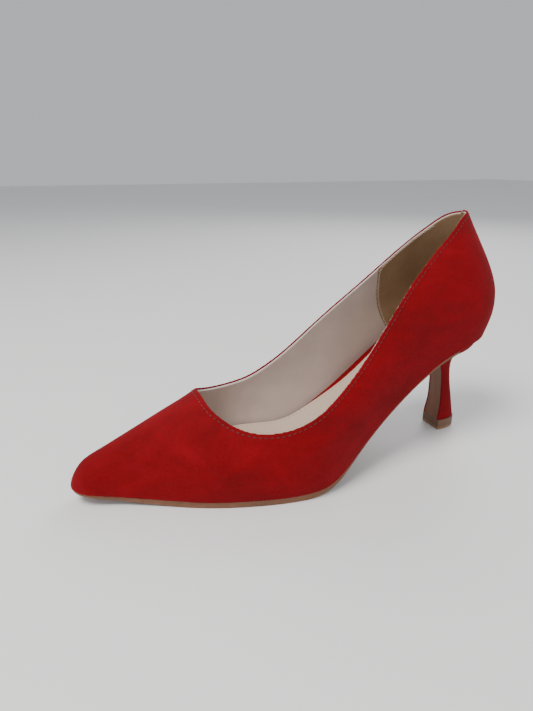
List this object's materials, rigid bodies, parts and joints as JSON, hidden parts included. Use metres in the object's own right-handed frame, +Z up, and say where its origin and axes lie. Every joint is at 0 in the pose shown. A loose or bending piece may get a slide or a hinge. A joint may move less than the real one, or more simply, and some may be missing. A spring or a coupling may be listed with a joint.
{
  "type": "high heel pump",
  "caption": "Left pointed-toe court shoe in red microsuede with a flared, waisted mid-height heel, closed toe, low-cut topline and beige leather lining.",
  "frame": {"origin": "centre of the bounding box at floor level", "axes": "+X towards the toe, +Y towards the wearer's left, which is the outer side of this left shoe, +Z up"},
  "size_m": [0.24, 0.0794, 0.1306],
  "materials": {
    "suede": "napped microsuede, deep red",
    "lining_leather": "matt, fine wrinkles, pinkish grey",
    "grip_leather": "matt, beige",
    "sock_leather": "matt, beige",
    "sole_leather": "tan, smooth",
    "breast_leather": "tan brown, satin",
    "tip_rubber": "brown, moulded",
    "heel_plastic": "moulded, ivory",
    "fibre_board": "pressed fibre board",
    "stiffener": "resin filled cloth",
    "knit": "thin knit backing",
    "foam": "open latex foam",
    "cork": "cork paste",
    "steel": "plain steel"
  },
  "bodies": {
    "root": {"upper": "suede", "heel_cover": "suede", "insole_wrap": "suede", "vamp_lining": "lining_leather", "heel_grip_lining": "grip_leather", "sock_lining": "sock_leather", "outsole": "sole_leather", "heel_breast_cover": "breast_leather", "heel_tip": "tip_rubber", "heel_block": "heel_plastic", "insole_board": "fibre_board", "shank_board": "fibre_board", "toe_puff": "stiffener", "heel_counter": "stiffener", "upper_interlining": "knit", "topline_tape": "knit", "sock_foam": "foam", "heel_pad": "foam", "bottom_filler": "cork", "steel_shank": "steel", "heel_tube": "steel", "heel_screw": "steel", "heel_nails": "steel", "shank_rivets": "steel", "heel_tip_pin": "steel"}
  },
  "joints": []
}
